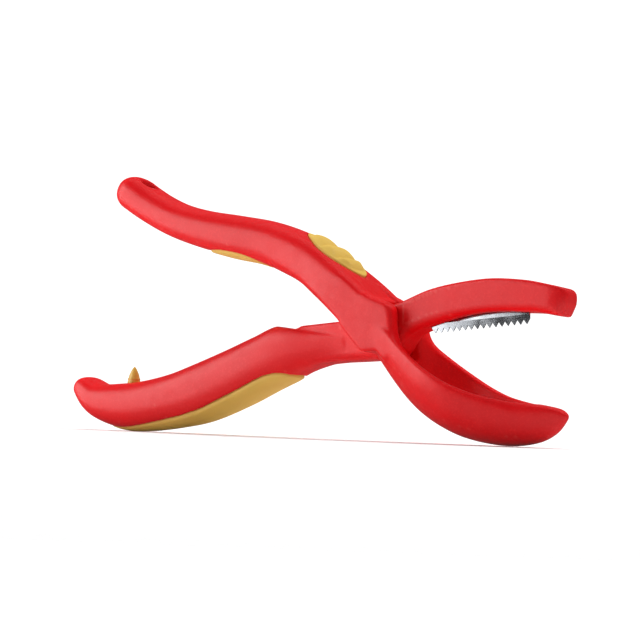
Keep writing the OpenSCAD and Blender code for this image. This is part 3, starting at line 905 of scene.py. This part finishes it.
def brushed_steel(name, colour, rough, stretch, wear):
    look = Look(name, Metallic=1.0)
    lines = look.noise(900, 3, stretch, 0.7)
    tint = look.mix(look.ramp(lines, 0.35, 0.65, 0, 1), colour, tuple(c * wear for c in colour))
    look.set("Base Color", tint)
    look.set("Roughness", look.ramp(look.noise(240, 3), 0.3, 0.7, rough, rough + 0.1))
    look.set("Normal", look.bump(lines, 0.00002, 0.25))
    return look.material


def bush_acetal():
    look = Look("bush_acetal", IOR=1.48)
    patches = look.ramp(look.noise(220, 2), 0.35, 0.65, 0, 1)
    look.set("Base Color", look.mix(patches, (0.82, 0.79, 0.7), (0.74, 0.7, 0.6)))
    look.set("Roughness", look.ramp(look.noise(600, 2), 0.3, 0.7, 0.34, 0.46))
    look.set("Normal", look.bump(look.noise(1500, 2, (1, 6, 1)), 0.00004, 0.2))
    return look.material


# ---------------------------------------------------------------- camera, floor and light
CAMERA_AZIMUTH = math.radians(33)
CAMERA_RISE = math.radians(-4)
CAMERA_ROLL = math.radians(2.07)
CAMERA_DISTANCE = 0.5
CAMERA_LENS = 85.0
LOOK_AT = Vector((-26.21, 0, 4.39)) * MM
FLOOR_RINGS = [0.05, 0.15, 0.3, 0.45]
FLOOR_SIDES = 96
WHITE = (1, 1, 1, 1)
SEEN_WORLD = 1.2  # brightness of the surroundings where the camera sees them
LIT_WORLD = 0.12  # and where they light the tool


def towards(azimuth, rise):
    """Unit vector at these angles. Azimuth 0 is towards -Y, and a quarter turn towards +X."""
    flat = math.cos(rise)
    return Vector((math.sin(azimuth) * flat, -math.cos(azimuth) * flat, math.sin(rise)))


def camera():
    back = towards(CAMERA_AZIMUTH, CAMERA_RISE)
    right = (-back).cross(Vector((0, 0, 1))).normalized()
    up = right.cross(-back)
    c, s = math.cos(CAMERA_ROLL), math.sin(CAMERA_ROLL)
    right, up = right * c + up * s, up * c - right * s
    data = bpy.data.cameras.new("camera")
    data.lens = CAMERA_LENS
    data.sensor_width = 36.0
    data.clip_start = 0.01
    piece = bpy.data.objects.new("camera", data)
    bpy.context.scene.collection.objects.link(piece)
    turn = Matrix((right, up, back)).transposed().to_4x4()
    piece.matrix_world = Matrix.Translation(PIVOT + LOOK_AT + back * CAMERA_DISTANCE) @ turn
    bpy.context.scene.camera = piece


def floor(height):
    """A flat disc under the tool, in rings."""
    n = FLOOR_SIDES
    points = [(0.0, 0.0, 0.0)]
    faces = []
    for i, r in enumerate(FLOOR_RINGS):
        for j in range(n):
            a = 2 * math.pi * j / n
            points.append((r * math.cos(a), r * math.sin(a), 0.0))
            k = (j + 1) % n
            if i == 0:
                faces.append((0, 1 + j, 1 + k))
            else:
                inner = 1 + (i - 1) * n
                faces.append((inner + j, inner + n + j, inner + n + k, inner + k))
    mesh = bpy.data.meshes.new("floor")
    mesh.from_pydata(points, [], faces)
    piece = bpy.data.objects.new("floor", mesh)
    piece.location = (0, 0, height)
    bpy.context.scene.collection.objects.link(piece)
    look = Look("pale_floor", Roughness=0.8, Specular_IOR_Level=0.0)
    patches = look.ramp(look.noise(6, 2), 0.3, 0.7, 0, 1)
    look.set("Base Color", look.mix(patches, (0.93, 0.93, 0.93), (0.91, 0.91, 0.91)))
    mesh.materials.append(look.material)
    piece.visible_glossy = False


def softbox(name, azimuth, rise, distance, width, height, bright, diffuse=True, glossy=True):
    """An area light that faces the pivot, from these angles in degrees."""
    way = towards(math.radians(azimuth), math.radians(rise))
    data = bpy.data.lights.new(name, "AREA")
    data.shape = "RECTANGLE"
    data.size = width
    data.size_y = height
    data.energy = bright * math.pi * width * height
    lamp = bpy.data.objects.new(name, data)
    lamp.location = PIVOT + way * distance
    lamp.rotation_euler = way.to_track_quat("Z", "Y").to_euler()
    lamp.visible_camera = False
    lamp.visible_diffuse = diffuse
    lamp.visible_glossy = glossy
    bpy.context.scene.collection.objects.link(lamp)


def surroundings():
    """White surroundings, dimmer as a light than they look, and four soft lights."""
    world = bpy.data.worlds.new("studio")
    bpy.context.scene.world = world
    world.use_nodes = True
    nodes, links = world.node_tree.nodes, world.node_tree.links
    nodes.clear()
    output = nodes.new("ShaderNodeOutputWorld")
    seen = nodes.new("ShaderNodeBackground")
    seen.inputs["Color"].default_value = WHITE
    seen.inputs["Strength"].default_value = SEEN_WORLD
    light = nodes.new("ShaderNodeBackground")
    light.inputs["Color"].default_value = WHITE
    light.inputs["Strength"].default_value = LIT_WORLD
    path = nodes.new("ShaderNodeLightPath")
    mix = nodes.new("ShaderNodeMixShader")
    links.new(path.outputs["Is Camera Ray"], mix.inputs["Fac"])
    links.new(light.outputs["Background"], mix.inputs[1])
    links.new(seen.outputs["Background"], mix.inputs[2])
    links.new(mix.outputs["Shader"], output.inputs["Surface"])
    softbox("key", -52, 12, 0.9, 0.95, 0.9, 2.7)
    softbox("sheen", -52, 12, 0.92, 0.95, 0.9, 0.8, diffuse=False)
    softbox("side", 100, 6, 1.0, 0.7, 0.7, 0.8, glossy=False)
    softbox("top", 180, 66, 2.0, 2.4, 2.0, 4.0, glossy=False)
    bpy.context.scene.view_settings.view_transform = "Standard"


# ---------------------------------------------------------------- the whole tool
def place(piece, body, material, slot, *nodes):
    """Gives a piece its material and its body, and hides the CAD nodes that it is shown for."""
    piece.data.materials.append(material)
    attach(piece, body)
    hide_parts(*nodes)


def build():
    red = red_plastic()
    yellow = soft_yellow()
    blade_steel = brushed_steel("blade_steel", (0.36, 0.375, 0.4), 0.07, (0.35, 1, 5), 0.86)
    pin_steel = brushed_steel("pin_steel", (0.6, 0.61, 0.63), 0.24, (4, 0.5, 4), 0.85)
    spring_steel = brushed_steel("spring_steel", (0.5, 0.51, 0.54), 0.28, (1, 1, 1), 0.8)
    place(scoop_lever(), SCOOP_BODY, red, "red_plastic", "scoop_lever")
    place(blade_lever(), BLADE_BODY, red, "red_plastic", "blade_lever")
    thumb = skin_object("thumb_pad_ridged", thumb_rings(thumb_top))
    palm = skin_object("palm_pad_inlay", palm_rings(palm_top))
    finger = skin_object("finger_grip_inlay", finger_rings(finger_top))
    place(thumb, SCOOP_BODY, yellow, "soft_yellow", "thumb_pad")
    place(palm, SCOOP_BODY, yellow, "soft_yellow", "palm_pad")
    place(finger, BLADE_BODY, yellow, "soft_yellow", "finger_grip")
    place(shell_pick(), BLADE_BODY, pick_yellow(), "pick_yellow", "shell_pick")
    place(serrated_blade(), BLADE_BODY, blade_steel, "blade_steel", "blade")
    for i, (x, z) in enumerate(BLADE_PINS, 1):
        pin = blade_pin(f"blade_pin_{i}", x, z)
        place(pin, BLADE_BODY, pin_steel, "pin_steel", "blade_pins")
    place(pivot_pin(), SCOOP_BODY, pin_steel, "pin_steel", "pivot_pin")
    place(pivot_bush(), BLADE_BODY, bush_acetal(), "bush_acetal", "pivot_bush")
    spring = return_spring()
    spring.data.materials.append(spring_steel)
    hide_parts("return_spring")
    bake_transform(spring)


camera()
floor(CAD_BOX[0].z)
surroundings()
build()
